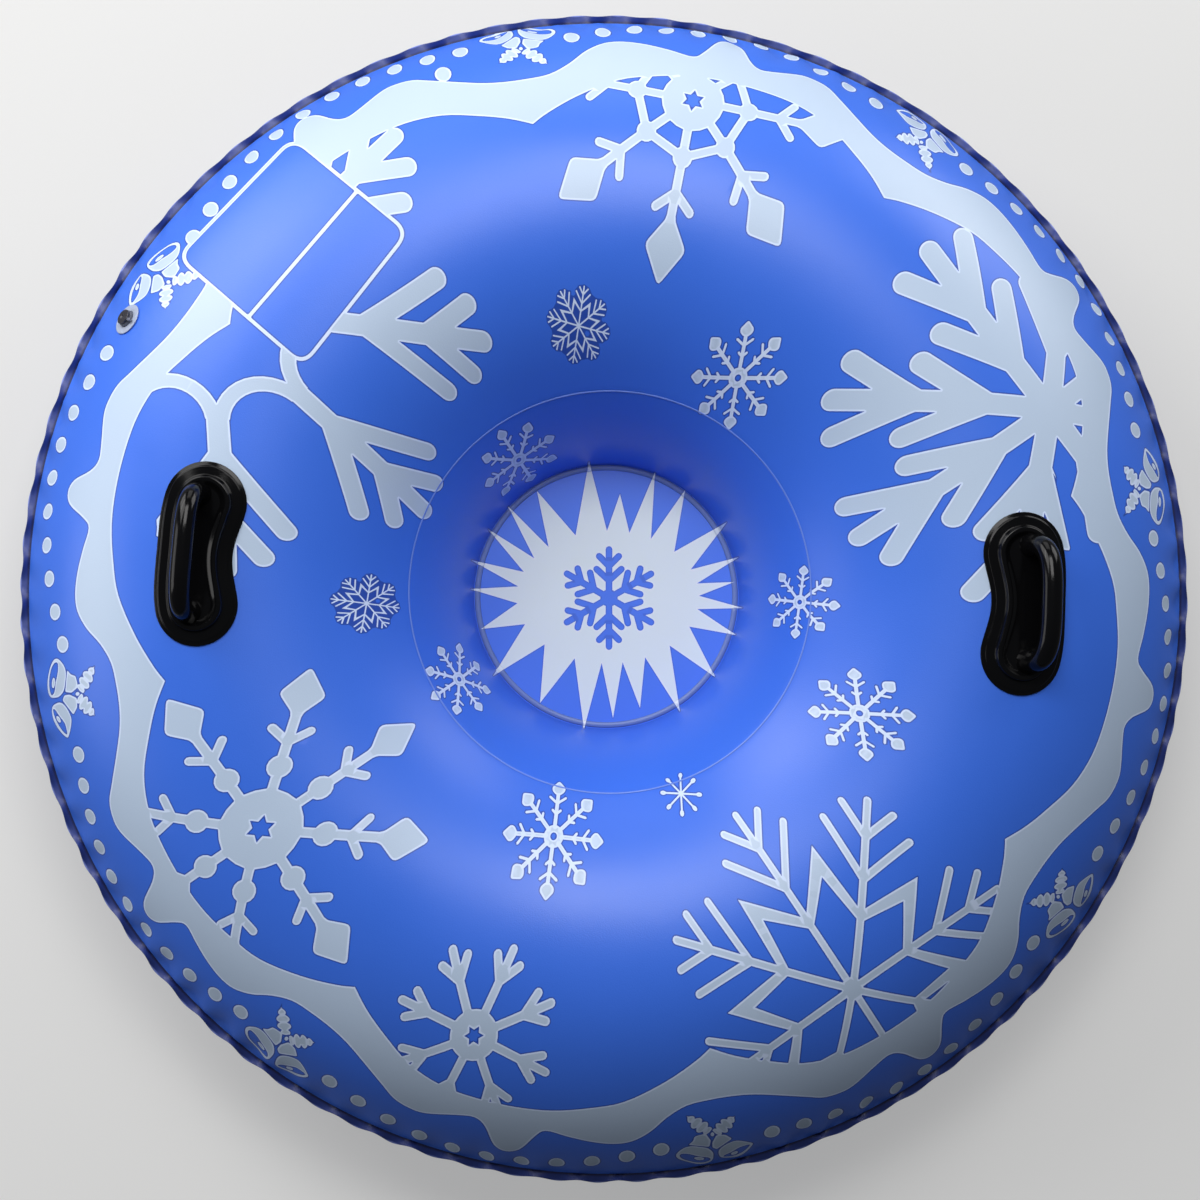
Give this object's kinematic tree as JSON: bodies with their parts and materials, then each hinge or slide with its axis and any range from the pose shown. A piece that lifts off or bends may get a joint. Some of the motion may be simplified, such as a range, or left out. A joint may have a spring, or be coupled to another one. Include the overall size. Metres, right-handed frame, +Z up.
{
  "type": "snow tube",
  "caption": "Round inflatable snow tube of welded vinyl, with a dished seat well, moulded grab handles and a stoppered inflation valve on its outer slope.",
  "frame": {"origin": "on the ground under the middle of the ring", "axes": "+Z up out of the seat well, +X towards the right handle"},
  "size_m": [1.1086, 1.1086, 0.2983],
  "materials": {
    "printed_vinyl": "satin",
    "plain_vinyl": "satin",
    "welded_vinyl": "satin",
    "moulded_black": "gloss",
    "clear_vinyl": "clear gloss"
  },
  "bodies": {
    "tube": {"top_sheet": "printed_vinyl", "well_sheet": "printed_vinyl", "bottom_sheet": "plain_vinyl", "outer_weld_rim": "welded_vinyl", "well_seam_weld": "printed_vinyl", "floor_weld_ring": "welded_vinyl", "left_handle": "moulded_black", "right_handle": "moulded_black", "valve_flange": "clear_vinyl"},
    "stem": {"valve_stem": "clear_vinyl", "valve_tether": "clear_vinyl"},
    "plug": {"valve_plug": "clear_vinyl"},
    "flap": {"valve_flap": "clear_vinyl"}
  },
  "joints": [
    {"name": "stem_pull", "type": "slide", "parent": "tube", "child": "stem", "axis": [-0.6662, 0.3754, 0.6445], "range_m": [0, 0.01]},
    {"name": "plug_pull", "type": "slide", "parent": "stem", "child": "plug", "axis": [-0.6662, 0.3754, 0.6445], "range_m": [0, 0.012], "deforming": ["valve_tether"]},
    {"name": "flap_swing", "type": "hinge", "parent": "stem", "child": "flap", "pos_m": [-0.43549, 0.24538, 0.16133], "axis": [0.4909, 0.8712, 0], "range_deg": [0, 55], "stiffness_Nm_per_rad": 0.0004}
  ]
}
